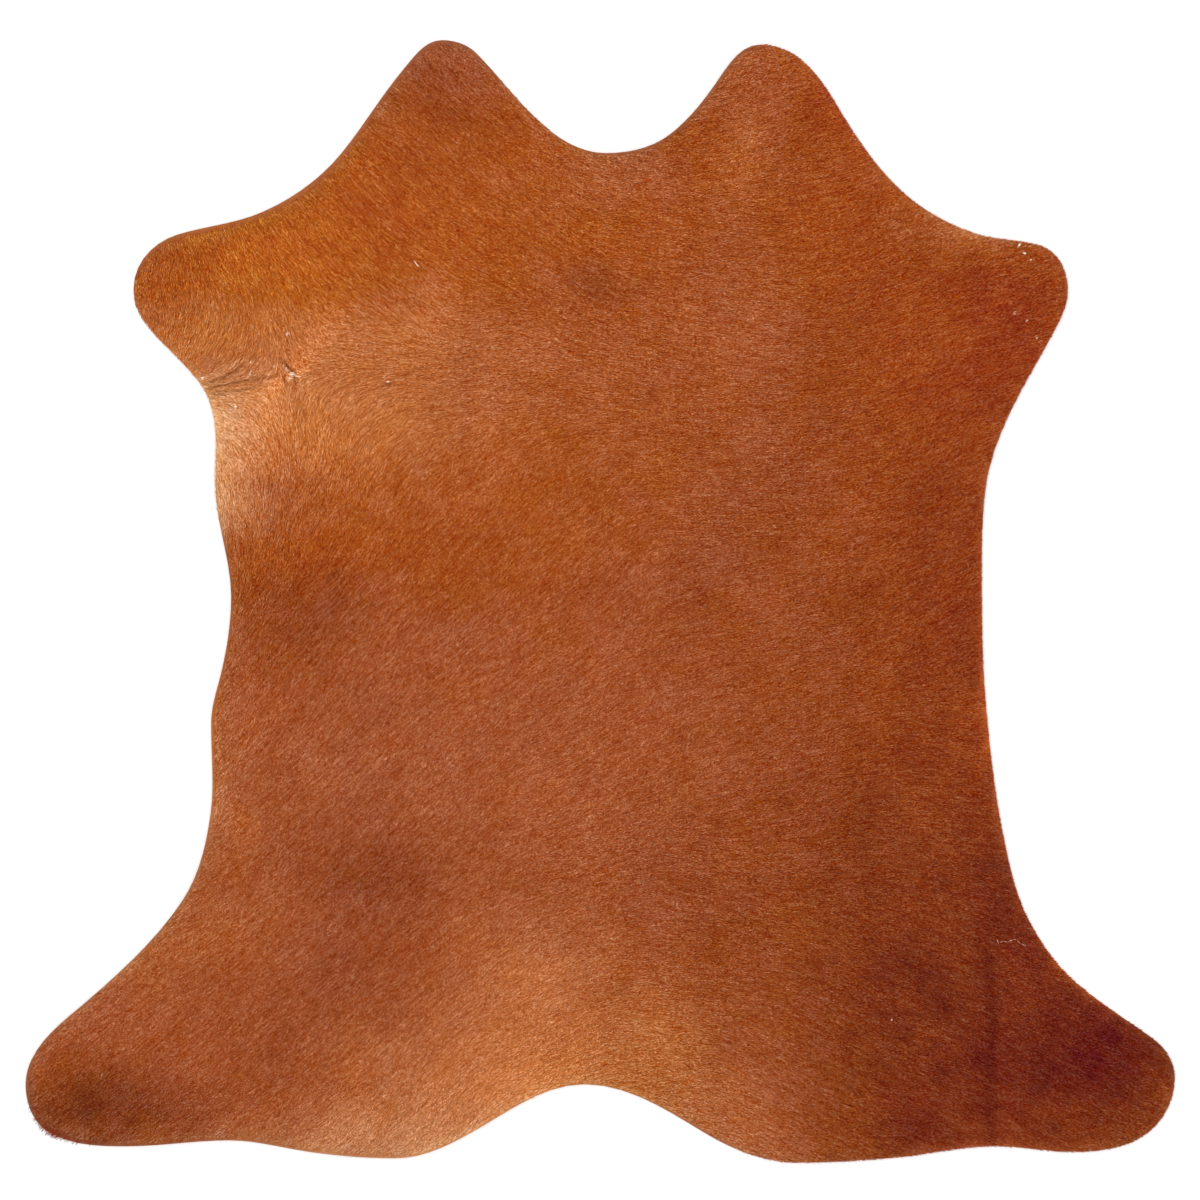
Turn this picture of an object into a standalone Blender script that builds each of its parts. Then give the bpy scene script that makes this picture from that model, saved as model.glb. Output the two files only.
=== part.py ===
"""Hair-on cowhide rug, lying flat: one skin with its coat, cut to a small hide outline.

Units are metres, +Z is up. The rug lies on the XY plane with its flesh side at Z = 0. The origin is
under the middle of the rug's box. The neck end points to +Y.
"""

import math

import bmesh
import bpy
import numpy as np
from mathutils import Vector

MM = 0.001

# Driving dimensions ---------------------------------------------------------------------------------

SKIN_THICKNESS = 2.2 * MM       # tanned leather at the cut edge
COAT_HEIGHT = 3.4 * MM          # hair lying on the skin, away from the rim
RIM_ROLL = 16.0 * MM            # the coat rises to its full height over this width
RIM_RINGS = (2.0 * MM, 5.0 * MM)  # rows of faces that round the rim off
GRID_STEP = 14.5 * MM           # spacing of the points inside the outline
KNOT_STEPS = 7                  # straight pieces between two outline knots
STRAIGHT_TURN = 0.02            # radians; an edge that turns less between two knots counts as straight
WELD_DISTANCE = 0.01 * MM       # outline points closer than this become one
SNAP_DISTANCE = 0.4 * MM        # grid cuts use a point of the outline that is closer than this
SHARP_ANGLE = 50.0              # degrees; the rim's edges stay sharp above this

SWELL_HEIGHT = 0.35 * MM        # the coat's broad unevenness
SWELL_LENGTH = 150.0 * MM
SWELL_BENDS = (0.6, 0.5)        # how much one direction's wave shifts the other's
SWELL_STRETCH = (0.8, 0.7)      # the second wave against the first

# Outline knots, anticlockwise seen from above: place in mm, and the heading of the edge in degrees.
# The edge between two knots is one even bend.
OUTLINE_COLUMNS = ("name", "x", "y", "heading")
OUTLINE = (
    ("neck hollow", 5.0, 358.5, 180),
    ("left neck inner foot", -44.5, 380.5, 139),
    ("left neck inner shoulder", -98.0, 438.0, 134),
    ("left neck top", -126.0, 448.8, 180),
    ("left neck outer shoulder", -156.0, 426.5, 230),
    ("left neck flank", -206.0, 358.8, 231),
    ("left shoulder", -269.0, 311.6, 204),
    ("left foreleg upper edge", -337.0, 293.5, 197),
    ("left foreleg tip", -372.5, 250.0, 270),
    ("left foreleg lower edge", -359.0, 218.0, 310),
    ("left armpit", -316.0, 170.0, 302),
    ("left belly top", -306.0, 124.0, 272),
    ("left belly dip", -307.0, 92.0, 270),
    ("left belly middle", -294.5, 4.0, 270),
    ("left belly low", -302.0, -55.0, 257),
    ("left flank fold", -310.5, -96.0, 269),
    ("left flank", -311.0, -170.0, 262),
    ("left hind leg top", -334.0, -240.0, 236),
    ("left hind leg outer edge", -408.0, -318.0, 221),
    ("left hind leg shoulder", -454.5, -367.0, 245),
    ("left hind leg tip", -458.0, -396.0, 280),
    ("left hind leg heel", -440.0, -424.5, 330),
    ("left hind leg foot", -378.0, -435.6, 0),
    ("left rump dip", -296.0, -430.8, 0),
    ("left rump", -231.0, -440.2, 352),
    ("left rump end", -163.0, -445.2, 0),
    ("tail hollow left", -103.0, -425.0, 29),
    ("tail hollow", -12.0, -386.0, 0),
    ("tail hollow right", 84.0, -424.8, 329),
    ("right rump end", 156.0, -448.2, 0),
    ("right rump", 242.0, -443.5, 6),
    ("right rump dip", 316.0, -435.0, 0),
    ("right hind leg foot", 376.0, -439.6, 0),
    ("right hind leg heel", 432.0, -428.5, 30),
    ("right hind leg tip", 459.5, -381.0, 90),
    ("right hind leg shoulder", 442.0, -349.2, 144),
    ("right hind leg outer edge", 380.0, -304.0, 139),
    ("right hind leg top", 342.0, -253.0, 117),
    ("right flank", 324.0, -195.0, 102),
    ("right belly low", 308.4, -81.0, 95),
    ("right belly middle", 305.2, 9.0, 90),
    ("right belly top", 307.8, 88.0, 83),
    ("right armpit", 332.0, 160.0, 63),
    ("right foreleg lower edge", 366.0, 222.0, 63),
    ("right foreleg tip", 374.0, 250.0, 92),
    ("right foreleg upper edge", 354.0, 283.5, 160),
    ("right shoulder", 300.0, 294.0, 161),
    ("right neck flank", 239.0, 330.0, 136),
    ("right neck outer shoulder", 194.0, 389.0, 121),
    ("right neck corner", 168.0, 426.5, 134),
    ("right neck top", 129.0, 445.3, 180),
    ("right neck inner shoulder", 92.0, 413.0, 235),
    ("right neck inner foot", 57.0, 374.0, 218),
)

# Lines in the coat where the hair parts or the skin was folded: the two ends in mm, how wide the
# line is, and how far it sinks (-) or stands up (+).
CREASE_COLUMNS = ("name", "x1", "y1", "x2", "y2", "width", "rise")
CREASES = (
    ("armpit whorl", -252.0, 182.0, -240.0, 180.0, 11.0, -1.4),
    ("armpit ridge", -308.0, 172.0, -262.0, 186.0, 13.0, 0.9),
    ("armpit trough", -300.0, 190.0, -258.0, 202.0, 15.0, -0.8),
    ("belly fold", -292.0, -60.0, -228.0, -96.0, 24.0, -0.7),
    ("hind leg fold", 317.0, -300.0, 317.0, -432.0, 15.0, -0.9),
    ("neck fold", -20.0, 262.0, 14.0, 272.0, 18.0, -0.6),
)

COAT_COLOR = (0.33, 0.085, 0.025, 1.0)
COAT_ROUGHNESS = 0.55


def clear_scene():
    for item in list(bpy.data.objects):
        bpy.data.objects.remove(item, do_unlink=True)


def make_collection(name):
    collection = bpy.data.collections.new(name)
    bpy.context.scene.collection.children.link(collection)
    return collection


def make_material(name, color, roughness):
    material = bpy.data.materials.new(name)
    material.use_nodes = True
    shader = material.node_tree.nodes["Principled BSDF"]
    shader.inputs["Base Color"].default_value = color
    shader.inputs["Roughness"].default_value = roughness
    shader.inputs["Metallic"].default_value = 0.0
    return material


def rows(columns, table):
    return [dict(zip(columns, row)) for row in table]


def bend_handle(chord, turn):
    """Length of the Bezier handles that make one even bend over this chord."""
    if abs(turn) < STRAIGHT_TURN:
        return chord / 3.0
    radius = chord / (2.0 * math.sin(abs(turn) / 2.0))
    return 4.0 / 3.0 * math.tan(abs(turn) / 4.0) * radius


def outline_curve(collection):
    """The rug's edge as a filled, closed 2D curve."""
    knots = rows(OUTLINE_COLUMNS, OUTLINE)
    places = [Vector((knot["x"] * MM, knot["y"] * MM, 0.0)) for knot in knots]
    angles = [math.radians(knot["heading"]) for knot in knots]

    curve = bpy.data.curves.new("outline", "CURVE")
    curve.dimensions = "2D"
    curve.fill_mode = "BOTH"
    curve.resolution_u = KNOT_STEPS
    spline = curve.splines.new("BEZIER")
    spline.bezier_points.add(len(knots) - 1)
    spline.use_cyclic_u = True

    for index, point in enumerate(spline.bezier_points):
        point.handle_left_type = "FREE"
        point.handle_right_type = "FREE"
        point.co = places[index]
    for index in range(len(knots)):
        following = (index + 1) % len(knots)
        start = spline.bezier_points[index]
        end = spline.bezier_points[following]
        turn = angles[following] - angles[index]
        turn = (turn + math.pi) % (2.0 * math.pi) - math.pi
        length = bend_handle((places[following] - places[index]).length, turn)
        leaving = Vector((math.cos(angles[index]), math.sin(angles[index]), 0.0))
        arriving = Vector((math.cos(angles[following]), math.sin(angles[following]), 0.0))
        start.handle_right = places[index] + leaving * length
        end.handle_left = places[following] - arriving * length

    guide = bpy.data.objects.new("outline", curve)
    collection.objects.link(guide)
    guide.hide_render = True
    guide.display_type = "WIRE"
    return guide


def outline_face(guide):
    """The filled curve as a bmesh with one face."""
    depsgraph = bpy.context.evaluated_depsgraph_get()
    mesh = bpy.data.meshes.new_from_object(guide.evaluated_get(depsgraph))
    sheet = bmesh.new()
    sheet.from_mesh(mesh)
    bpy.data.meshes.remove(mesh)
    bmesh.ops.remove_doubles(sheet, verts=sheet.verts, dist=WELD_DISTANCE)
    inner_edges = [edge for edge in sheet.edges if len(edge.link_faces) == 2]
    bmesh.ops.dissolve_edges(sheet, edges=inner_edges, use_verts=False)
    bmesh.ops.recalc_face_normals(sheet, faces=sheet.faces)
    if sheet.faces[0].normal.z < 0.0:
        bmesh.ops.reverse_faces(sheet, faces=sheet.faces)
    return sheet


def cut_into_rings_and_cells(sheet):
    """Rows of faces along the rim, and square cells inside, so the top can swell and sink."""
    inner = [sheet.faces[0]]
    done = 0.0
    for ring in RIM_RINGS:
        bmesh.ops.inset_region(sheet, faces=inner, thickness=ring - done, use_even_offset=True)
        done = ring
    low = [min(vert.co[axis] for vert in sheet.verts) for axis in range(2)]
    high = [max(vert.co[axis] for vert in sheet.verts) for axis in range(2)]
    for axis in range(2):
        normal = Vector((0.0, 0.0, 0.0))
        normal[axis] = 1.0
        count = int((high[axis] - low[axis]) / GRID_STEP)
        margin = (high[axis] - low[axis] - count * GRID_STEP) / 2.0
        for number in range(count + 1):
            place = Vector((0.0, 0.0, 0.0))
            place[axis] = low[axis] + margin + number * GRID_STEP
            everything = list(sheet.verts) + list(sheet.edges) + list(sheet.faces)
            bmesh.ops.bisect_plane(
                sheet, geom=everything, dist=SNAP_DISTANCE, plane_co=place, plane_no=normal
            )


def distance_to_segments(points, starts, ends):
    """For each point, how far the nearest of the segments is."""
    nearest = np.full(len(points), np.inf)
    for start, end in zip(starts, ends):
        along = end - start
        share = ((points - start) @ along) / max(along @ along, 1e-12)
        foot = start + np.clip(share, 0.0, 1.0)[:, None] * along
        nearest = np.minimum(nearest, np.hypot(*(points - foot).T))
    return nearest


def top_heights(points, edge_starts, edge_ends):
    """Height of the coat's surface over each point."""
    inset = distance_to_segments(points, edge_starts, edge_ends)
    share = np.clip(inset / RIM_ROLL, 0.0, 1.0)
    heights = SKIN_THICKNESS + COAT_HEIGHT * np.sqrt(1.0 - (1.0 - share) ** 2)
    x, y = points.T * (2.0 * math.pi / SWELL_LENGTH)
    across = np.sin(x + SWELL_BENDS[0] * np.sin(y))
    lengthwise = np.cos(SWELL_STRETCH[0] * y + SWELL_BENDS[1] * np.sin(SWELL_STRETCH[1] * x))
    swell = across * lengthwise
    heights += SWELL_HEIGHT * share * swell
    for crease in rows(CREASE_COLUMNS, CREASES):
        start = np.array((crease["x1"], crease["y1"])) * MM
        end = np.array((crease["x2"], crease["y2"])) * MM
        away = distance_to_segments(points, [start], [end]) / (crease["width"] * MM)
        heights += crease["rise"] * MM * share * np.exp(-away ** 2)
    return heights


def raise_top_and_close(sheet):
    """Lift the cells to the coat's height, and close the piece with a flat underside."""
    rim = [edge for edge in sheet.edges if len(edge.link_faces) == 1]
    starts = [np.array(edge.verts[0].co.xy) for edge in rim]
    ends = [np.array(edge.verts[1].co.xy) for edge in rim]
    top = list(sheet.verts)
    points = np.array([vert.co.xy for vert in top])
    for vert, height in zip(top, top_heights(points, starts, ends)):
        vert.co.z = height

    made = bmesh.ops.extrude_edge_only(sheet, edges=rim)["geom"]
    under_verts = [item for item in made if isinstance(item, bmesh.types.BMVert)]
    under_edges = [item for item in made if isinstance(item, bmesh.types.BMEdge)]
    for vert in under_verts:
        vert.co.z = 0.0
    under_edges = [edge for edge in under_edges if len(edge.link_faces) == 1]
    bmesh.ops.contextual_create(sheet, geom=under_edges)
    bmesh.ops.recalc_face_normals(sheet, faces=sheet.faces)
    bmesh.ops.triangulate(sheet, faces=sheet.faces)


def build_hide(collection, guide):
    sheet = outline_face(guide)
    cut_into_rings_and_cells(sheet)
    raise_top_and_close(sheet)
    mesh = bpy.data.meshes.new("hide")
    sheet.to_mesh(mesh)
    sheet.free()
    mesh.shade_smooth()
    mesh.set_sharp_from_angle(angle=math.radians(SHARP_ANGLE))
    mesh.materials.append(make_material("coat", COAT_COLOR, COAT_ROUGHNESS))
    hide = bpy.data.objects.new("hide", mesh)
    collection.objects.link(hide)
    return hide


def main():
    clear_scene()
    parts = make_collection("cowhide_rug")
    guides = make_collection("guides")
    guide = outline_curve(guides)
    build_hide(parts, guide)


main()
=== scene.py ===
"""Looks of the hair-on cowhide rug: a thin skin with a coat of short lying hair, on a pale floor.

Units are metres, +Z is up. Tables are in millimetres, seen from above, from the middle of the rug.
Headings are in degrees, anticlockwise from +X, and say where a hair's tip points.
"""

import math

import bmesh
import bpy
import numpy as np
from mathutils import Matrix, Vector
from mathutils.bvhtree import BVHTree


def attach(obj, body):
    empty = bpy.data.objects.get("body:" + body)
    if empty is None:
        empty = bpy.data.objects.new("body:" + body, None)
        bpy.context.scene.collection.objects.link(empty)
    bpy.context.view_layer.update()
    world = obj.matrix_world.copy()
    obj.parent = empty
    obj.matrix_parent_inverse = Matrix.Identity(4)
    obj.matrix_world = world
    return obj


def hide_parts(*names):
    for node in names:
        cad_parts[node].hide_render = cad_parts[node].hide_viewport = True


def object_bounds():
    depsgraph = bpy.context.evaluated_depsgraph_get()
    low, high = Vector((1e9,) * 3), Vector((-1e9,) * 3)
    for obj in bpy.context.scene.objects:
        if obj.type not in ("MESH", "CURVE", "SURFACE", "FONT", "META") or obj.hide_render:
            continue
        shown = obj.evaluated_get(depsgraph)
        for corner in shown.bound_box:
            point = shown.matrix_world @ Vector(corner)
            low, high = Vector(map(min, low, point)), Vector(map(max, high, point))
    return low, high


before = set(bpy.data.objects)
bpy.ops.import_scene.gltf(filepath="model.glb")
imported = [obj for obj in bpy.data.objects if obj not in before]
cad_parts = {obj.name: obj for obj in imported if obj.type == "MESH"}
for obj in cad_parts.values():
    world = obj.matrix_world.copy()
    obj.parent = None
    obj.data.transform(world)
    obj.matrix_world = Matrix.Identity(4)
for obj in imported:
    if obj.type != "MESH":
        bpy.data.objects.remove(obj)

CAD_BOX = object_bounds()
MM = 0.001

# The photograph --------------------------------------------------------------------------------------

FRAME_WIDTH = 960.0 * MM          # what the picture shows from side to side, 1200 pixels of 0.8 mm
VIEW_CENTER = (0.4 * MM, 1.2 * MM)
CAMERA_HEIGHT = 3.2
SENSOR_WIDTH = 36.0               # mm on the camera's back

# Hair ------------------------------------------------------------------------------------------------

SKIN_THICKNESS = 2.2 * MM
# SKIN_SHADE is painted shade: the gaps between the locks, darkened on the skin's colour.
SKIN_SHADE = 0.75                 # how dark the skin between the roots is against the hair
BARE_MARGIN = 0.5 * MM            # skin that shows outside the outermost roots
ROOT_STEP = 0.84 * MM             # spacing of the roots
ROOT_JITTER = 0.75                # share of the spacing
LOCK_WIDTH = 0.44 * MM            # of a lock as long as SHORT_HAIR; longer hair lies in slimmer locks
SHORT_HAIR = 5.0 * MM
LOCK_TONE = 30.0                  # how much a lock is lighter or darker than its place, in sRGB steps
LOCK_SKEW = 0.7                   # under 1: few locks are much darker and many a little lighter
LONG_HAIR_FADE = 0.8              # how fast single locks blend in as the hair gets longer
SHORT_HAIR_TONE = 1.2             # largest SHORT_HAIR / length that this fade goes by
COMBED_TONE = 14.0                # same for locks that lie in one line
COMBED_CELL = 0.9                 # mm, width of such a line
COMBED_LENGTH = 8.0               # mm
COMBED_CELLS = 256                # such lines repeat after so many cells
TONE_BALANCE = (0.64, 1.0, 1.2)   # share of such a step in each channel: dark hair is redder
SHADE_BALANCE = (1.0, 0.75, 0.5)  # share of a darker step in a furrow in each channel
TONE_REDS = (100.0, 215.0)        # red of the darkest and the palest coat
TONE_SHARES = (0.8, 1.15)         # share of a tone step that shows in them
SHOULDER = 0.7                    # share of its length where a lock is widest
OVERHANG = (0.2 * MM, 1.3 * MM)   # least and most that a tip reaches past the cut edge
LEAST_LENGTH = 0.8 * MM           # of a lock that is cut short at the edge
TRIM_ROUNDS = 4                   # how often the length is brought closer to the cut edge
ROOT_SINK = 0.3 * MM              # roots start this far inside the skin
LENGTH_RANGE = (0.75, 1.25)       # share of the place's length
WIDTH_RANGE = (0.7, 1.3)          # share of the place's width
WIDTH_FADE = 0.7                  # how fast locks get slimmer as the hair gets longer
TIP_RANGE = (0.55, 1.0)           # share of the coat's height at which a tip lies
WANDER = ((0.08, 9.0 * MM), (0.04, 3.5 * MM))  # radians that the lay wanders by, and over what length
STRAY = 0.10                      # radians, how much single locks turn off the lay
BEND = 0.12                       # radians, how much they bend at the shoulder
ROLL = 0.25                       # radians, how much they roll about their length
LOOSE_RANGE = (0.7, 1.1)          # share of the length in the table below
LOOSE_LIFT = 0.25 * MM            # single hairs lie this far above the solid's top
LOOSE_WIDTH = 0.42                # mm, of a single hair that stands out
CURL_WIDTH = 0.2                  # mm, of the curled one
MAP_STEP = 2.5 * MM               # spacing of the maps that are read off the frame
MAP_MARGIN = 25.0 * MM            # how far the maps reach past the rug
PROBE_HEIGHT = 0.1                # rays that find the solid's top start here
FALL_START = 0.6 * MM             # height over the skin of the surface just off the cut edge
FALL_SLOPE = 0.25
FALL_REACH = 12.0 * MM
FLOOR_LEVEL = 0.05 * MM           # points under this belong to the underside
SIDE_NORMAL = 0.5                 # faces whose normal's Z is under this, up or down, are the cut edge
COAT_PARTS = 5                    # the coat is kept as this many meshes, in bands from neck to tail
TOP_FACE, EDGE_FACE, UNDER_FACE = range(3)  # places of the skin's materials

SEED = 20                         # of the random draws; each kind of noise has a seed of its own
WANDER_SEED = SEED + 1
TUFT_SEED = SEED + 3
COMBED_SEED = SEED + 5
LIGHT_SEED = SEED + 10
WARMTH_SEED = SEED + 20
NOISE_CELLS = 64                  # noise repeats after so many cells, unless a call says otherwise

# Which way the hair lies, and how long it is in mm.
FLOW_COLUMNS = ("name", "x", "y", "heading", "length")
FLOW = (
    ("left neck", -120, 393, -42, 6),
    ("left shoulder", -216, 297, -48, 7.6),
    ("nape left", -48, 297, -36, 6),
    ("nape", 32, 297, -12, 5.4),
    ("right neck", 144, 385, 12, 5.4),
    ("right shoulder", 224, 289, 20, 5.4),
    ("withers", 0, 241, -24, 5.4),
    ("withers right", 104, 233, -12, 5.4),
    ("left foreleg root", -288, 261, -60, 9),
    ("left foreleg tip", -360, 253, -86, 6.8),
    ("left foreleg heel", -332, 209, -105, 6.8),
    ("whorl north", -256, 217, -66, 9),
    ("ridge north", -291, 200, -120, 7.6),
    ("ridge", -302, 177, -165, 6.8),
    ("whorl east", -204, 187, -10, 6.8),
    ("ridge east", -112, 196, 2, 6),
    ("whorl north-east", -160, 241, -42, 7.6),
    ("ridge south", -297, 155, 155, 7.6),
    ("left armpit", -280, 129, 125, 10),
    ("whorl south", -240, 137, 92, 10),
    ("whorl south-east", -212, 161, 50, 7.6),
    ("armpit low", -284, 81, 96, 9),
    ("flank top", -240, 81, 60, 6.8),
    ("left side", -216, 1, 45, 5.4),
    ("left centre", -96, 65, 44, 4.8),
    ("centre", 0, 33, 38, 4.8),
    ("centre right", 88, 89, -4, 4.8),
    ("right middle", 176, 121, 6, 4.8),
    ("right foreleg", 328, 241, 14, 5.4),
    ("right armpit", 276, 129, 24, 5.4),
    ("right side", 272, 1, 26, 5.4),
    ("middle", 128, -15, 12, 4.8),
    ("low middle", 32, -127, 28, 4.8),
    ("left low", -160, -143, 42, 4.8),
    ("right low", 176, -127, 15, 4.8),
    ("right flank", 284, -159, -12, 5.4),
    ("rump middle", -8, -223, 20, 4.8),
    ("rump right", 72, -247, -12, 4.8),
    ("rump left", -120, -279, 40, 5.4),
    ("left hind leg", -336, -335, 37, 5.4),
    ("left rump", -136, -407, 43, 6),
    ("tail", -32, -351, 28, 5.4),
    ("tail right", 48, -367, -8, 5.4),
    ("right rump", 144, -383, -26, 5.4),
    ("right hind leg root", 240, -319, -22, 5.4),
    ("right hind leg", 384, -367, -26, 5.4),
)
FLOW_REACH = 26.0                 # mm, how sharply one place's heading gives way to the next

# Colours of the coat, as sRGB out of 255.
COAT_COLORS = {
    "chestnut": (162, 82, 44),
    "light chestnut": (169, 89, 47),
    "orange bay": (171, 87, 39),
    "burnt orange": (163, 76, 30),
    "dark orange": (160, 73, 28),
    "ochre": (175, 86, 21),
    "light ochre": (188, 109, 52),
    "orange fawn": (200, 117, 55),
    "fawn": (196, 120, 67),
    "pale fawn": (208, 140, 92),
    "cream": (203, 143, 95),
    "tan": (176, 98, 55),
    "light tan": (186, 107, 57),
    "warm tan": (209, 129, 74),
    "rose brown": (170, 91, 52),
    "dusk brown": (150, 76, 45),
    "umber": (140, 69, 41),
    "dark rose": (125, 58, 34),
    "russet": (137, 58, 26),
    "bright russet": (154, 68, 26),
    "deep russet": (148, 60, 18),
    "deep brown": (131, 57, 30),
    "liver": (110, 43, 20),
    "dark liver": (98, 35, 14),
    "white hair": (242, 216, 188),
    "pale hair": (222, 176, 134),
    "dark hair": (122, 46, 18),
    "hair gloss": (255, 150, 60),
}
BASE_COLOR = "chestnut"
PATCH_FALL = 0.9                  # how fast a patch of colour fades from its middle
COLOR_GAIN = (1.03, 0.83, 0.68)   # how far the hair's own colour follows the colour wanted of the coat
EXTRA_LIGHT = (0.037, 0.0136, 0.0107)   # linear light that gloss and uneven hair add to the colour
TRAPPED = 0.35                    # share of the light that meets more hair on its way out
TINT_GAIN = 0.97
SCREEN_GAMMA = 2.2

# The patches follow the coat as it looks under its light, so besides the coat's own colour they carry
# painted light and shade: partly painted sheen on the paler left side and armpit, partly painted shade
# on the darker lower right, and the shading of the lay where the hair turns from the light.
# Soft-edged patches of colour, laid one over another in this order: middle, half widths and tilt.
# Their rims wander by so much, in mm: cell, reach and seed.
PATCH_WANDER = ((50.0, 8.0, 40), (18.0, 4.0, 50))
PATCH_COLUMNS = ("name", "x", "y", "half_x", "half_y", "tilt", "color", "strength")
PATCHES = (
    ("right side", 312, 23, 138, 336, 0, "russet", 0.95),
    ("top right", 236, 297, 120, 120, 0, "bright russet", 0.8),
    ("right foreleg", 328, 217, 56, 48, 0, "deep russet", 0.9),
    ("left neck and shoulder", -136, 321, 180, 110, 0, "burnt orange", 0.9),
    ("nape", -40, 300, 80, 60, 0, "orange bay", 0.5),
    ("ochre shoulder", -272, 275, 92, 56, 16, "ochre", 0.95),
    ("foreleg tip", -368, 250, 40, 48, 0, "dark orange", 0.9),
    ("left centre", -96, 85, 150, 80, 10, "orange bay", 0.9),
    ("armpit fawn", -238, 154, 84, 42, 0, "fawn", 0.95),
    ("withers left", -166, 204, 96, 44, -8, "light tan", 0.85),
    ("armpit cream", -308, 134, 34, 46, 0, "cream", 0.95),
    ("armpit low", -308, 86, 26, 28, 0, "pale fawn", 0.85),
    ("fawn band", -204, 132, 60, 22, 12, "orange fawn", 0.7),
    ("foreleg heel", -300, 218, 60, 20, 0, "light ochre", 0.85),
    ("flank band", -206, 34, 100, 30, 4, "dark orange", 0.85),
    ("flank smudge", -228, -10, 60, 28, 0, "umber", 0.8),
    ("flank spot", -217, 21, 6, 4, 40, "umber", 0.6),
    ("left belly", -240, -110, 110, 80, 0, "rose brown", 0.8),
    ("left side", -266, -42, 60, 80, 0, "russet", 0.42),
    ("flank ochre", -176, 113, 56, 34, 0, "ochre", 0.22),
    ("left belly edge", -302, -168, 24, 52, 0, "tan", 0.75),
    ("belly ochre spot", -290, -179, 8, 10, 0, "ochre", 0.5),
    ("middle", 85, 32, 40, 40, 0, "dusk brown", 0.6),
    ("withers right", 108, 228, 44, 76, 0, "light chestnut", 0.6),
    ("low middle", -80, -165, 150, 80, 0, "rose brown", 0.8),
    ("rump smudge", -184, -227, 60, 44, 0, "umber", 0.8),
    ("rump low smudge", -216, -320, 60, 48, 0, "dusk brown", 0.7),
    ("left hind leg top", -320, -275, 56, 24, 30, "light tan", 0.5),
    ("left hind leg spot", -362, -291, 4, 3, 0, "umber", 0.6),
    ("left hind foot", -400, -407, 72, 28, 0, "dark rose", 0.9),
    ("tail fawn", -56, -394, 112, 52, 0, "warm tan", 0.95),
    ("tail top", -58, -310, 54, 50, 0, "warm tan", 0.56),
    ("tail rim", -160, -434, 90, 22, 0, "pale fawn", 0.8),
    ("tail right", 40, -370, 60, 56, 0, "light ochre", 0.7),
    ("tail ochre", -36, -375, 18, 12, 20, "orange fawn", 0.4),
    ("tail ochre streak", -177, -423, 3, 18, -5, "ochre", 0.4),
    ("rump dark", 108, -232, 60, 60, 0, "umber", 0.32),
    ("right rump", 240, -253, 114, 120, 0, "deep brown", 0.78),
    ("rump warm", 144, -271, 34, 34, 0, "orange bay", 0.3),
    ("right hind leg", 340, -365, 156, 120, 0, "liver", 0.98),
    ("right hind tip", 406, -348, 52, 42, 0, "dark liver", 0.7),
    ("right flank", 334, -240, 46, 72, 0, "liver", 0.75),
    ("right hind foot", 232, -415, 40, 40, 0, "liver", 0.4),
    ("right hip", 118, -430, 40, 44, 0, "tan", 0.5),
    ("right hock", 320, -428, 90, 26, 0, "liver", 0.35),
    ("right leg smudge", 272, -319, 16, 10, 20, "dark liver", 0.3),
    ("right arm orange", 256, 190, 44, 50, 0, "bright russet", 0.6),
    ("right arm top", 288, 301, 48, 20, 0, "light tan", 0.6),
    ("left neck top", -122, 430, 48, 24, 0, "dusk brown", 0.8),
    ("left neck band", -136, 395, 48, 11, -5, "russet", 0.4),
    ("right neck hollow", 72, 365, 32, 24, 0, "bright russet", 0.65),
    ("right neck middle", 112, 357, 20, 32, 0, "light tan", 0.5),
    ("neck hollow", 12, 341, 48, 22, 0, "tan", 0.4),
    ("right neck top", 132, 421, 40, 28, 0, "light chestnut", 0.2),
    ("right neck outer", 176, 401, 26, 44, -30, "bright russet", 0.8),
    ("spine smudge", -8, 267, 21, 13, 0, "umber", 0.7),
    ("spine smudge tail", 20, 253, 24, 8, 0, "umber", 0.5),
)
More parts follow.
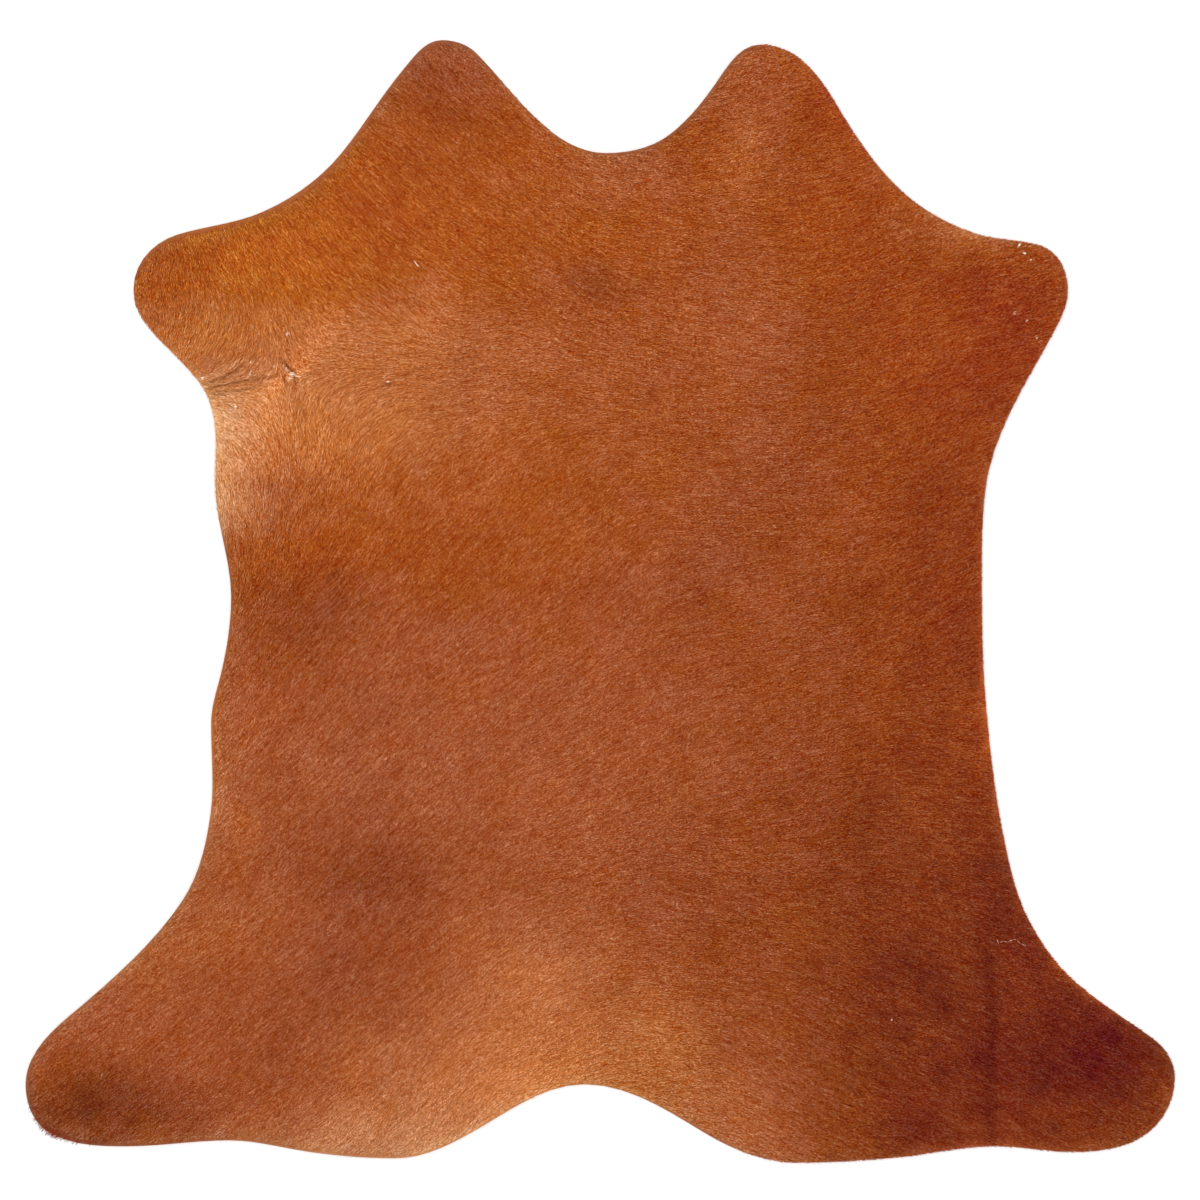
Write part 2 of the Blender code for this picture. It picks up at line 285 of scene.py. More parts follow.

# Furrows where the hair parts or the skin folds: their points, half width in mm and how much darker
# they are in sRGB steps. The darkening is painted shade in the folds, wrinkles, dents and the whorl's
# part, with a painted shadow under a fleck; negative steps are painted highlights on the lit side of
# the folds. A few rows are marks of the coat itself: darker and paler spots and patches, lint, a worn
# spot.
FURROW_REACH = 3.0                # half widths from its line at which a furrow has faded away
FURROW_COLUMNS = ("name", "points", "half_width", "darker")
FURROWS = (
    ("whorl", ((-253, 192), (-249, 187), (-244, 182)), 1.6, 66),
    ("under whorl", ((-243.5, 178.5), (-242, 176)), 1.3, 56),
    ("below whorl", ((-242, 176), (-239, 166), (-238, 140)), 4.0, 12),
    ("ridge light", ((-302, 186), (-286, 191), (-266, 190), (-253, 186)), 2.2, -22),
    ("armpit wrinkle high", ((-316.5, 173.5), (-302, 178), (-290, 185), (-286, 189)), 1.0, 44),
    ("armpit light high", ((-314, 176), (-302, 181), (-292, 188)), 1.2, -20),
    ("armpit wrinkle middle", ((-314, 170), (-295, 174), (-281, 177), (-259, 179)), 1.0, 40),
    ("armpit light middle", ((-296, 176.5), (-281, 179.5), (-262, 181.5)), 1.1, -22),
    ("armpit wrinkle low", ((-311, 163), (-300, 167), (-289, 168), (-277, 171)), 0.9, 36),
    ("armpit light low", ((-306, 162.5), (-292, 165.5), (-281, 168)), 1.1, -14),
    ("armpit wrinkle short", ((-312, 166.5), (-304, 168)), 0.9, 30),
    ("withers nick", ((-157, 179), (-148, 184)), 0.9, 30),
    ("fleck shadow", ((-171, 173.5), (-166, 173.5)), 1.2, 40),
    ("flank fold", ((-214, 112), (-196, 122), (-176, 128)), 1.4, 14),
    ("flank fold short", ((-196, 105), (-190, 112)), 1.1, 18),
    ("flank dent", ((-218, 17), (-213, 23), (-209, 25)), 1.5, 22),
    ("right leg fold", ((311, -280), (314, -330), (311, -380), (314, -436)), 5.0, 18),
    ("right leg fold core", ((316, -330), (315, -370), (317, -410)), 2.0, 8),
    ("right leg dash", ((276, -320), (277, -326)), 1.2, 26),
    ("tail line", ((-81, -275), (-81, -306)), 0.9, 14),
    ("left leg spot", ((-289, -354), (-286, -355.5)), 2.2, 16),
    ("left leg spot low", ((-221, -362), (-218, -363.5)), 2.2, 14),
    ("right leg patch", ((224, -417), (233, -419)), 4.0, 14),
    ("foot patch outer", ((-441, -407), (-429, -415)), 5.0, 10),
    ("foot patch", ((-413, -406), (-407, -410)), 4.5, 10),
    ("foot patch inner", ((-376, -415), (-366, -418)), 4.0, 10),
    ("foot patch far", ((-352, -406), (-345, -410)), 4.5, 9),
    ("foot pale", ((-425, -420), (-407, -427)), 4.0, -9),
    ("left neck worn spot", ((-178, 394), (-168, 386)), 4.0, -12),
    ("right leg lint", ((220.5, -354), (223.5, -353.5)), 0.6, -34),
)

# Cloudy unevenness: cell in mm, how far it is drawn out along the hair in mm, and how much lighter or
# darker and redder or yellower it is, in sRGB steps.
MOTTLE_COLUMNS = ("name", "cell", "drawn", "light", "warmth")
MOTTLE = (
    ("clouds", 42.0, 0, 3.0, 2.0),
    ("blotches", 15.0, 0, 3.6, 2.0),
    ("tufts", 6.0, 0, 1.6, 1.5),
    ("streaks", 2.4, 12.0, 3.0, 0.5),
)
MOTTLE_REDS = (110.0, 160.0)      # red of dark and of middling coat
MOTTLE_SHARES = (1.7, 1.0)        # share of the unevenness that shows in their red

# Painted light and shade of the cut edge, where the low hair catches more light than the rest of the
# coat: around a place in mm, in sRGB steps that fade inwards over some mm.
RIM_LIGHT_AND_SHADE_COLUMNS = ("name", "x", "y", "reach", "tone", "fade")
RIM_LIGHT_AND_SHADE = (
    ("all round", 0, 0, 2000, (-25, -1, 8), 5.0),
    ("right side", 296, -80, 150, (78, 29, -46), 1.7),
    ("right thigh", 384, -290, 80, (52, 22, -10), 2.5),
    ("right hock", 300, -425, 90, (38, 12, 0), 3.0),
    ("right arm", 345, 200, 45, (2, -7, -28), 2.5),
    ("right neck", 200, 400, 60, (-9, -20, -32), 7.0),
    ("left armpit", -330, 190, 40, (6, 16, 22), 1.5),
    ("left neck", -190, 380, 60, (9, 7, 0), 2.0),
    ("left arm", -330, 290, 60, (9, 5, 0), 2.0),
    ("left belly", -310, -80, 110, (18, 7, -8), 3.0),
    ("left thigh", -360, -300, 90, (10, 14, 12), 4.0),
    ("rump and tail", -150, -430, 200, (8, 0, -4), 5.0),
)

# Hairs that stand out: root, heading, length in mm, how many, how far they fan out in degrees, how far
# their roots spread in mm, and their colour.
LOOSE_HAIR_COLUMNS = ("name", "x", "y", "heading", "length", "count", "fan", "spread", "color")
LOOSE_HAIRS = (
    ("whorl star", -248, 182, -12, 5, 7, 35, 0.5, "white hair"),
    ("whorl star low", -249, 179, -25, 4, 5, 30, 0.5, "white hair"),
    ("whorl star left", -251, 184, 60, 3, 4, 25, 0.5, "white hair"),
    ("whorl ray", -245, 181, -14, 7, 2, 8, 0.5, "white hair"),
    ("armpit edge", -319, 178, 10, 4, 4, 20, 0.5, "white hair"),
    ("ridge spot", -280, 181, 35, 3, 3, 40, 0.5, "white hair"),
    ("ridge stroke", -261, 186, 58, 3, 2, 10, 0.5, "white hair"),
    ("ridge high stroke", -279, 190, 75, 3, 2, 10, 0.5, "white hair"),
    ("armpit strokes", -292, 158, -70, 5, 5, 25, 0.5, "white hair"),
    ("armpit strokes low", -288, 150, -60, 4, 3, 25, 0.5, "pale hair"),
    ("armpit strokes foot", -294, 141, -75, 4, 3, 25, 0.5, "pale hair"),
    ("armpit strokes edge", -300, 126, -80, 4, 3, 20, 0.5, "pale hair"),
    ("armpit stroke inner", -283, 134, -60, 4, 2, 20, 0.5, "pale hair"),
    ("armpit stroke far", -301, 110, -80, 4, 2, 20, 0.5, "pale hair"),
    ("armpit speck", -294, 157, 170, 3, 2, 20, 0.5, "white hair"),
    ("armpit speck low", -293, 153, 150, 3, 2, 20, 0.5, "white hair"),
    ("foreleg stroke", -149, 273, -52, 9, 3, 5, 0.5, "white hair"),
    ("withers fleck", -171, 176, 5, 4, 3, 20, 0.5, "white hair"),
    ("withers fleck small", -174, 180, -20, 2, 2, 20, 0.5, "white hair"),
    ("foreleg pale spot", -250, 216, -60, 4, 3, 20, 0.5, "white hair"),
    ("right arm tuft", 334, 283, 45, 5, 6, 14, 0.5, "white hair"),
    ("right arm tuft low", 338, 279, -15, 4, 5, 25, 0.5, "white hair"),
    ("right arm tuft small", 343, 273, 10, 3, 2, 15, 0.5, "white hair"),
    ("right arm speck", 330, 230, 20, 3, 3, 15, 0.5, "white hair"),
    ("right arm speck low", 340, 223, 60, 3, 2, 25, 0.5, "white hair"),
    ("right arm speck foot", 348, 210, 20, 3, 4, 60, 0.5, "pale hair"),
    ("left neck speck", -179, 396, -40, 2, 2, 20, 0.5, "pale hair"),
    ("right leg speck", 233, -333, 10, 1.5, 3, 60, 0.5, "white hair"),
    ("right leg speck tip", 403, -390, 0, 2, 1, 30, 0.5, "pale hair"),
    ("left leg speck", -381, -359, 70, 2, 2, 20, 0.5, "pale hair"),
    ("left leg stroke", -399, -380, 60, 4, 2, 12, 0.5, "pale hair"),
    ("foot fringe high", -453, -404, 205, 3.5, 16, 16, 2.0, "dark hair"),
    ("foot fringe outer", -449, -414, 212, 4, 26, 14, 2.0, "dark hair"),
    ("foot fringe corner", -443, -419, 216, 4.5, 36, 12, 1.8, "dark hair"),
    ("foot tuft", -437, -422, 218, 6, 46, 10, 1.8, "dark hair"),
    ("foot tuft inner", -432, -425, 222, 5.5, 40, 12, 1.8, "dark hair"),
    ("foot fringe low", -425, -427, 226, 4.5, 32, 16, 2.0, "dark hair"),
    ("foot fringe foot", -416, -429.5, 235, 4, 26, 18, 2.2, "dark hair"),
    ("foot fringe far", -406, -431, 245, 3.5, 20, 20, 2.4, "dark hair"),
)

# A curled white hair that lies on the coat: its points from end to end.
CURL = (
    (317, -269), (319, -273), (322, -271), (326, -272),
    (330, -270), (333, -270), (336, -273), (341, -275),
)

# Places with a ragged edge: middle and reach, and how much further than elsewhere the hair sticks out,
# in mm.
RAGGED_COLUMNS = ("name", "x", "y", "reach", "extra")
RAGGED = (
    ("left hind foot", -440, -424, 20, 2.6),
    ("left hind foot low", -412, -431, 14, 1.6),
    ("left hind leg tip", -456, -395, 16, 1.2),
    ("left neck flank", -178, 398, 10, 1.0),
    ("neck hollow", 66, 384, 12, 1.6),
)
TUFT_CELL = 4.0 * MM              # a tuft's width on such an edge

# Materials -------------------------------------------------------------------------------------------

WARMTH_BALANCE = (0.5, 0.0, -1.0)  # share of a step of warmth in each channel
WARMTH_SHIFT = 0.37               # keeps the pattern of warmth apart from that of light

# Fine hairs in a lock: noise across, along and from lock to lock, and the tone, roughness and relief
# that it gives. Such a tone or roughness is its lowest and highest value, and the noise they stand for.
GRAIN_SCALES = (1.3, 2.1, 60.0)
GRAIN_DETAIL = {"Scale": 1.0, "Detail": 2.0, "Roughness": 0.6}
GRAIN_TONE = (-0.35, 0.16, 0.25, 0.6)
# ROOT_SHADE_TONE: painted shade that darkens each lock towards its root, deep in the coat, and lightens
# its tip a little.
ROOT_SHADE_TONE = (-0.07, 0.03, 0.0, 0.8)
GRAIN_ROUGHNESS = (0.72, 0.54, 0.25, 0.75)
GRAIN_BUMP = {"Strength": 0.5, "Distance": 0.2 * MM}
LOOSE_PICK = 0.5                  # the number from 0 to 1 that sets locks apart, for single hairs
HAIR_GLOSS = 0.15

# Underhair on the skin, along and across the lay.
UNDERHAIR_SCALES = (320.0, 2000.0, 1.0)
UNDERHAIR_DETAIL = {"Scale": 1.0, "Detail": 2.0}
UNDERHAIR_TONE = (-0.08, 0.08, 0.3, 0.7)
UNDERHAIR_BUMP = {"Strength": 0.6, "Distance": 0.3 * MM}
UNDERHAIR_ROUGHNESS = 0.8
RIPPLE_HEIGHT = 0.12 * MM
RIPPLE_LENGTH = 30.0 * MM
FACE_SHIFT = 7.3                  # sets each face's underhair apart

# Leather: clouds and fibres of noise, the share of the light colour that their sum gives, how far the
# fibres move the roughness, and for each face its colours, how fine its fibres are and how rough it is.
LEATHER_CLOUDS = {"Scale": 14.0, "Detail": 4.0}
LEATHER_FIBRES = {"Detail": 4.0, "Roughness": 0.65, "Distortion": 1.2}
LEATHER_SHARE = (0.0, 1.0, 0.7, 1.3)
LEATHER_POLISH = (-0.12, 0.06)
LEATHER_BUMP = {"Strength": 0.5, "Distance": 0.4 * MM}
LEATHER_SHEEN = 0.2
LEATHER_COLUMNS = ("name", "light", "dark", "scale", "rough")
LEATHERS = (
    ("cut_edge", (196, 150, 112), (150, 98, 66), 1500.0, 0.85),
    ("flesh_side", (206, 186, 160), (172, 146, 116), 700.0, 0.92),
)

# Camera, floor and light -----------------------------------------------------------------------------

CLIP_START = 0.05
CLIP_END = 60.0
FLOOR_SIZE = 12.0
FLOOR_DROP = 0.4 * MM             # the floor lies this far under the rug
FLOOR_COLOR = (0.86, 0.86, 0.86, 1.0)
FLOOR_ROUGHNESS = 0.9
FLOOR_GLOSS = 0.1
LIGHT_COLUMNS = ("name", "x", "y", "z", "size", "power")
LIGHTS = (
    ("key", -2.6, 2.2, 3.2, 2.0, 48.0),
    ("fill", 2.6, -2.0, 3.2, 3.0, 39.0),
)
WORLD_STRENGTH = 1.18

# A lock's root, shoulder and tip, across it and along it, and how it lies in its cell of the bake map.
ACROSS = (0.0, 1.0, 0.0)
ALONG = (0.0, SHOULDER, 1.0)
CELL_START = (0.14, 0.1)
CELL_SIZE = (0.72, 0.8)
CELL_SHAPE = 2.0                  # how much longer than wide a cell is


def rows(columns, table):
    return [dict(zip(columns, row)) for row in table]


def linear(srgb):
    """sRGB out of 255 as linear light."""
    share = np.asarray(srgb, float) / 255.0
    return np.where(share <= 0.04045, share / 12.92, ((share + 0.055) / 1.055) ** 2.4)


def turned(vectors, angles):
    """2D vectors turned anticlockwise by angles in radians."""
    cosine = np.cos(angles)
    sine = np.sin(angles)
    x = vectors[:, 0] * cosine - vectors[:, 1] * sine
    y = vectors[:, 0] * sine + vectors[:, 1] * cosine
    return np.stack((x, y), axis=1)


def smooth_noise(points, cell, seed, size=NOISE_CELLS):
    """Smooth random values from -1 to 1: they change over cell metres and repeat after size cells."""
    values = np.random.default_rng(seed).uniform(-1.0, 1.0, (size, size))
    place = points / cell
    corner = np.floor(place).astype(int)
    share = place - corner
    share = share * share * (3.0 - 2.0 * share)
    x0, y0 = (corner % size).T
    x1, y1 = ((corner + 1) % size).T
    low = values[x0, y0] * (1.0 - share[:, 0]) + values[x1, y0] * share[:, 0]
    high = values[x0, y1] * (1.0 - share[:, 0]) + values[x1, y1] * share[:, 0]
    return low * (1.0 - share[:, 1]) + high * share[:, 1]


# The frame's shape -----------------------------------------------------------------------------------


class Shape:
    """The cut edge and the height of the coat's surface, read off the frame's solid."""

    def __init__(self, node):
        self.low = np.array(CAD_BOX[0][:2]) - MAP_MARGIN
        self.high = np.array(CAD_BOX[1][:2]) + MAP_MARGIN
        self.counts = np.ceil((self.high - self.low) / MAP_STEP).astype(int) + 1
        x = self.low[0] + np.arange(self.counts[0]) * MAP_STEP
        y = self.low[1] + np.arange(self.counts[1]) * MAP_STEP
        spots = np.stack(np.meshgrid(x, y, indexing="ij"), axis=2).reshape(-1, 2)
        self.edge_starts, self.edge_ends = rim_edges(node)
        self.inset = self.signed_inset(spots).reshape(self.counts)
        self.height = self.surface(node, spots).reshape(self.counts)

    def signed_inset(self, spots):
        """Distance to the cut edge: above 0 on the rug and under 0 off it."""
        nearest = np.full(len(spots), np.inf)
        crossings = np.zeros(len(spots), int)
        for start, end in zip(self.edge_starts, self.edge_ends):
            along = end - start
            share = np.clip(((spots - start) @ along) / (along @ along), 0.0, 1.0)
            foot = start + share[:, None] * along
            nearest = np.minimum(nearest, np.hypot(*(spots - foot).T))
            spans = (start[1] > spots[:, 1]) != (end[1] > spots[:, 1])
            if spans.any():
                cross_x = start[0] + (spots[:, 1] - start[1]) / (end[1] - start[1]) * along[0]
                crossings += spans & (spots[:, 0] < cross_x)
        return np.where(crossings % 2 == 1, nearest, -nearest)

    def surface(self, node, spots):
        """Height of the solid's top, and a gentle fall outside the cut edge."""
        verts = [node.matrix_world @ vert.co for vert in node.data.vertices]
        polygons = [tuple(polygon.vertices) for polygon in node.data.polygons]
        tree = BVHTree.FromPolygons(verts, polygons)
        down = Vector((0.0, 0.0, -1.0))
        heights = np.full(len(spots), SKIN_THICKNESS)
        inside = self.inset.ravel() > 0.0
        for index in np.nonzero(inside)[0]:
            hit = tree.ray_cast(Vector((*spots[index], PROBE_HEIGHT)), down)[0]
            if hit:
                heights[index] = hit.z
        fall = FALL_START - FALL_SLOPE * np.clip(-self.inset.ravel(), 0.0, FALL_REACH)
        return np.where(inside, heights, SKIN_THICKNESS + fall)

    def read(self, grid, points):
        """A map's value at each point, between its four nearest spots."""
        # Just short of the last spot, so that there is always a next one.
        place = np.clip((points - self.low) / MAP_STEP, 0.0, self.counts - 1.001)
        corner = np.floor(place).astype(int)
        share = place - corner
        x, y = corner.T
        low = grid[x, y] * (1.0 - share[:, 0]) + grid[x + 1, y] * share[:, 0]
        high = grid[x, y + 1] * (1.0 - share[:, 0]) + grid[x + 1, y + 1] * share[:, 0]
        return low * (1.0 - share[:, 1]) + high * share[:, 1]


def rim_edges(node):
    """The starts and ends of the underside's outer edges."""
    mesh = bmesh.new()
    mesh.from_mesh(node.data)
    starts = []
    ends = []
    for edge in mesh.edges:
        flat = max(vert.co.z for vert in edge.verts) < FLOOR_LEVEL
        upright = any(abs(face.normal.z) < SIDE_NORMAL for face in edge.link_faces)
        if flat and upright:
            starts.append(np.array(edge.verts[0].co.xy))
            ends.append(np.array(edge.verts[1].co.xy))
    mesh.free()
    return starts, ends


# Lay and colour of the coat --------------------------------------------------------------------------


def lay_of_hair(points):
    """Unit headings and lengths of the hair rooted at points."""
    heading = np.zeros((len(points), 2))
    length = np.zeros(len(points))
    total = np.zeros(len(points))
    for place in rows(FLOW_COLUMNS, FLOW):
        offset = points / MM - (place["x"], place["y"])
        weight = 1.0 / (FLOW_REACH ** 2 + (offset ** 2).sum(axis=1)) ** 2
        angle = math.radians(place["heading"])
        heading += weight[:, None] * (math.cos(angle), math.sin(angle))
        length += weight * place["length"]
        total += weight
    heading /= np.maximum(np.hypot(*heading.T), 1e-20)[:, None]
    return heading, length / total * MM


def coat_color(points):
    """Linear colour of the coat at points, with the painted light and shade that its patches carry,
    before the unevenness of single locks.
    """
    color = np.tile(linear(COAT_COLORS[BASE_COLOR]), (len(points), 1))
    places = points / MM
    for cell, reach, seed in PATCH_WANDER:
        for axis in range(2):
            places[:, axis] += reach * smooth_noise(points, cell * MM, SEED + seed + axis)
    for patch in rows(PATCH_COLUMNS, PATCHES):
        offset = places - (patch["x"], patch["y"])
        offset = turned(offset, np.full(len(points), -math.radians(patch["tilt"])))
        away = (offset[:, 0] / patch["half_x"]) ** 2 + (offset[:, 1] / patch["half_y"]) ** 2
        share = (patch["strength"] * np.exp(-PATCH_FALL * away))[:, None]
        color = color * (1.0 - share) + linear(COAT_COLORS[patch["color"]]) * share
    return color


def fold_shade_and_marks(points):
    """How much darker the coat is at points, in sRGB steps: painted shade in folds and parts, painted
    highlights as negative steps, and a few real marks.
    """
    darker = np.zeros(len(points))
    for furrow in rows(FURROW_COLUMNS, FURROWS):
        line = np.array(furrow["points"], float) * MM
        reach = FURROW_REACH * furrow["half_width"] * MM
        low, high = line.min(axis=0) - reach, line.max(axis=0) + reach
        near = np.all((points > low) & (points < high), axis=1)
        spots = points[near]
        nearest = np.full(len(spots), np.inf)
        for start, end in zip(line[:-1], line[1:]):
            along = end - start
            share = np.clip(((spots - start) @ along) / (along @ along), 0.0, 1.0)
            nearest = np.minimum(nearest, np.hypot(*(spots - start - share[:, None] * along).T))
        darker[near] += furrow["darker"] * np.exp(-((nearest / (furrow["half_width"] * MM)) ** 2))
    return darker


def rim_light_and_shade(points, inset):
    """Painted light and shade of the coat at points near its cut edge, in sRGB steps."""
    steps = np.zeros((len(points), 3))
    for place in rows(RIM_LIGHT_AND_SHADE_COLUMNS, RIM_LIGHT_AND_SHADE):
        offset = points / MM - (place["x"], place["y"])
        near = np.exp(-(offset ** 2).sum(axis=1) / place["reach"] ** 2)
        fade = np.exp(-np.maximum(inset, 0.0) / (place["fade"] * MM))
        steps += (near * fade)[:, None] * place["tone"]
    return steps


def srgb_of(color):
    """Linear colour as sRGB out of 255."""
    return np.where(color <= 0.0031308, color * 12.92, 1.055 * color ** (1.0 / 2.4) - 0.055) * 255.0


def shifted(color, steps):
    """Linear colour made lighter by steps of sRGB."""
    return linear(np.clip(srgb_of(color) + steps, 0.0, 255.0))


def dyed(color):
    """The tint that the hair needs to look like color in the coat."""
    own = np.maximum(color * COLOR_GAIN - EXTRA_LIGHT, 0.0)
    return np.clip(own / (1.0 - TRAPPED + TRAPPED * own) * TINT_GAIN, 0.0, 1.0)


def combed(points, cell, drawn, seed):
    """Uneven tone of cell mm across the hair, drawn out along it over drawn mm."""
    if not drawn:
        return smooth_noise(points, cell * MM, seed)
    heading = lay_of_hair(points)[0]
    count = int(math.ceil(drawn / cell)) + 1
    places = np.linspace(-0.5, 0.5, count) * drawn * MM
    lines = (points + heading * place for place in places)
    tones = sum(smooth_noise(line, cell * MM, seed, COMBED_CELLS) for line in lines)
    return tones / math.sqrt(count)


def mottled(color, points, inset):
    """Colour with the cloudy unevenness of a real coat, and the painted light and shade of its cut
    edge.
    """
    steps = rim_light_and_shade(points, inset)
    for index, kind in enumerate(rows(MOTTLE_COLUMNS, MOTTLE)):
        light = combed(points, kind["cell"], kind["drawn"], LIGHT_SEED + index)[:, None]
        warmth = smooth_noise(points + WARMTH_SHIFT, kind["cell"] * MM, WARMTH_SEED + index)[:, None]
        change = kind["light"] * light + kind["warmth"] * warmth * WARMTH_BALANCE
        change[:, 0] *= np.interp(srgb_of(color[:, 0]), MOTTLE_REDS, MOTTLE_SHARES)
        steps += change
    return dyed(shifted(color, steps))


# Materials -------------------------------------------------------------------------------------------


def new_material(name):
    material = bpy.data.materials.new(name)
    material.use_nodes = True
    tree = material.node_tree
    return material, tree, tree.nodes["Principled BSDF"]


def add_node(tree, kind, inputs=None, **settings):
    """A node with its settings, and its inputs linked or set."""
    node = tree.nodes.new(kind)
    for name, value in settings.items():
        setattr(node, name, value)
    for key, value in (inputs or {}).items():
        if isinstance(value, bpy.types.NodeSocket):
            tree.links.new(value, node.inputs[key])
        else:
            node.inputs[key].default_value = value
    return node


def ranged(tree, value, low, high, start=0.0, end=1.0):
    """value from start to end, mapped to low to high."""
    node = add_node(
        tree,
        "ShaderNodeMapRange",
        {"Value": value, "From Min": start, "From Max": end, "To Min": low, "To Max": high},
    )
    return node.outputs["Result"]


def product(tree, first, second):
    node = add_node(tree, "ShaderNodeMath", {0: first, 1: second}, operation="MULTIPLY")
    return node.outputs["Value"]


def total(tree, first, second):
    node = add_node(tree, "ShaderNodeMath", {0: first, 1: second}, operation="ADD")
    return node.outputs["Value"]


def vector(tree, operation, inputs):
    return add_node(tree, "ShaderNodeVectorMath", inputs, operation=operation).outputs["Vector"]


def gamma(tree, color, power):
    return add_node(tree, "ShaderNodeGamma", {"Color": color, "Gamma": power}).outputs["Color"]


def relief(tree, shader, height, settings):
    """Bump the shader's surface by height."""
    bump = add_node(tree, "ShaderNodeBump", {"Height": height, **settings})
    tree.links.new(bump.outputs["Normal"], shader.inputs["Normal"])


def toned(tree, color, step):
    """color made lighter by a step of tone."""
    seen = gamma(tree, color, 1.0 / SCREEN_GAMMA)
    red = add_node(tree, "ShaderNodeSeparateColor", {"Color": seen}).outputs["Red"]
    dark, pale = TONE_REDS
    step = product(tree, step, ranged(tree, red, *TONE_SHARES, dark / 255.0, pale / 255.0))
    steps = vector(tree, "SCALE", {0: TONE_BALANCE, "Scale": step})
    kept = vector(tree, "MAXIMUM", {0: vector(tree, "ADD", {0: seen, 1: steps})})
    return gamma(tree, kept, SCREEN_GAMMA)


def coat_material():
    material, tree, shader = new_material("coat")
    tint = add_node(tree, "ShaderNodeAttribute", attribute_name="tint").outputs["Color"]
    lock = add_node(tree, "ShaderNodeAttribute", attribute_name="lock").outputs["Vector"]
    along = add_node(tree, "ShaderNodeSeparateXYZ", {"Vector": lock}).outputs["Y"]
    # Single hairs inside a lock: fine lines that run from root to tip.
    place = vector(tree, "MULTIPLY", {0: lock, 1: GRAIN_SCALES})
    hairs = add_node(tree, "ShaderNodeTexNoise", {"Vector": place, **GRAIN_DETAIL}).outputs["Fac"]
    # Tone of the fine hairs, plus painted shade towards each lock's root.
    step = total(tree, ranged(tree, hairs, *GRAIN_TONE), ranged(tree, along, *ROOT_SHADE_TONE))
    tree.links.new(toned(tree, tint, step), shader.inputs["Base Color"])
    tree.links.new(ranged(tree, hairs, *GRAIN_ROUGHNESS), shader.inputs["Roughness"])
    relief(tree, shader, hairs, GRAIN_BUMP)
    shader.inputs["Specular IOR Level"].default_value = HAIR_GLOSS
    shader.inputs["Specular Tint"].default_value = (*linear(COAT_COLORS["hair gloss"]), 1.0)
    return material


def skin_top_material():
    """Skin and short underhair between the roots, darkened with painted shade for the gaps between
    locks.
    """
    material, tree, shader = new_material("skin_top")
    tint = add_node(tree, "ShaderNodeAttribute", attribute_name="tint").outputs["Color"]
    lay = add_node(tree, "ShaderNodeAttribute", attribute_name="lay").outputs["Vector"]
    place = vector(tree, "MULTIPLY", {0: lay, 1: UNDERHAIR_SCALES})
    grain = add_node(tree, "ShaderNodeTexNoise", {"Vector": place, **UNDERHAIR_DETAIL}).outputs["Fac"]
    step = ranged(tree, grain, *UNDERHAIR_TONE)
    tree.links.new(toned(tree, tint, step), shader.inputs["Base Color"])
    shader.inputs["Roughness"].default_value = UNDERHAIR_ROUGHNESS
    relief(tree, shader, grain, UNDERHAIR_BUMP)
    return material


def leather_material(name, light, dark, scale, rough):
    """Cut edge or flesh side: matted fibres with darker, smoother places."""
    material, tree, shader = new_material(name)
    place = add_node(tree, "ShaderNodeTexCoord").outputs["Object"]
    clouds = add_node(tree, "ShaderNodeTexNoise", {"Vector": place, **LEATHER_CLOUDS}).outputs["Fac"]
    fine = {"Vector": place, "Scale": scale, **LEATHER_FIBRES}
    fibres = add_node(tree, "ShaderNodeTexNoise", fine).outputs["Fac"]
    share = ranged(tree, total(tree, clouds, fibres), *LEATHER_SHARE)
    mix = add_node(tree, "ShaderNodeMix", {"Factor": share}, data_type="RGBA")
    mix.inputs["A"].default_value = (*linear(dark), 1.0)
    mix.inputs["B"].default_value = (*linear(light), 1.0)
    tree.links.new(mix.outputs[2], shader.inputs["Base Color"])
    polish = (rough + change for change in LEATHER_POLISH)
    tree.links.new(ranged(tree, fibres, *polish), shader.inputs["Roughness"])
    relief(tree, shader, fibres, LEATHER_BUMP)
    shader.inputs["Sheen Weight"].default_value = LEATHER_SHEEN
    return material


# Pieces ----------------------------------------------------------------------------------------------


def add_piece(name, mesh):
    piece = bpy.data.objects.new(name, mesh)
    bpy.context.scene.collection.objects.link(piece)
    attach(piece, "root")
    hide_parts("hide")
    return piece


def set_tint(mesh, colors):
    layer = mesh.attributes.new("tint", "FLOAT_COLOR", "POINT")
    opaque = np.ones((len(colors), 1))
    layer.data.foreach_set("color", np.hstack((colors, opaque)).astype(np.float32).ravel())


def set_lay(mesh):
    """Each face's corners along and across the hair from its middle, and a number of its own."""
    centers = np.array([polygon.center[:] for polygon in mesh.polygons])
    headings = lay_of_hair(centers[:, :2])[0]
    layer = mesh.attributes.new("lay", "FLOAT_VECTOR", "CORNER")
    for polygon, center, heading in zip(mesh.polygons, centers, headings):
        for corner in polygon.loop_indices:
            offset = np.array(mesh.vertices[mesh.loops[corner].vertex_index].co) - center
            along = offset[0] * heading[0] + offset[1] * heading[1]
            across = offset[1] * heading[0] - offset[0] * heading[1]
            layer.data[corner].vector = (along, across, FACE_SHIFT * polygon.index)


